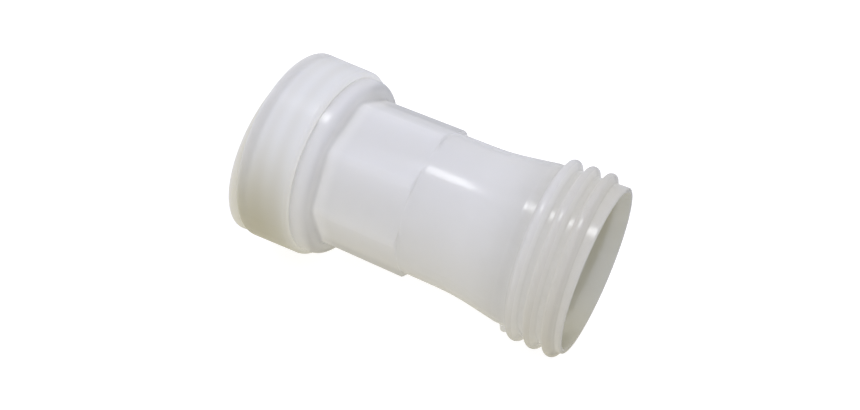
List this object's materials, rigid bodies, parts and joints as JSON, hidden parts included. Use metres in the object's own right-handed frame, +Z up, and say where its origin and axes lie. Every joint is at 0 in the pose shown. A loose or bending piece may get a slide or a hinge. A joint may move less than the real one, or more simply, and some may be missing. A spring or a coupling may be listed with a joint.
{
  "type": "push fit coupling",
  "caption": "Straight plastic pipe coupling with a capped push fit end and a bare coarse threaded end.",
  "frame": {"origin": "centre of the bare threaded outlet's face, on the pipe axis", "axes": "+X along the pipe axis from the bare outlet to the capped end, +Z up"},
  "size_m": [0.1166, 0.0664, 0.0664],
  "materials": {
    "body_plastic": "translucent milky polypropylene, soft gloss",
    "cap_plastic": "translucent milky polypropylene, soft gloss",
    "sleeve_plastic": "milky acetal, soft gloss",
    "washer_plastic": "natural low-friction plastic",
    "carrier_plastic": "milky moulded plastic",
    "stainless": "pressed stainless strip",
    "seal_rubber": "moulded EPDM, lightly greased"
  },
  "bodies": {
    "fitting": {"body": "body_plastic", "grab_ring_carrier": "carrier_plastic", "grab_ring": "stainless", "o_ring_follower": "carrier_plastic", "o_ring": "seal_rubber"},
    "washer": {"slip_washer": "washer_plastic"},
    "cap": {"retaining_cap": "cap_plastic"},
    "sleeve": {"release_sleeve": "sleeve_plastic"}
  },
  "joints": [
    {"name": "cap_travel", "type": "slide", "parent": "fitting", "child": "washer", "axis": [1, 0, 0], "range_m": [0, 0.012]},
    {"name": "cap_turn", "type": "hinge", "parent": "washer", "child": "cap", "pos_m": [0.1, 0, 0], "axis": [1, 0, 0], "range_deg": [0, 720]},
    {"name": "sleeve_press", "type": "slide", "parent": "cap", "child": "sleeve", "axis": [-1, 0, 0], "range_m": [0, 0.0017]}
  ],
  "couplings": [
    {"joint": "cap_turn", "follows": "cap_travel", "rad_per_m": 1047.2}
  ]
}
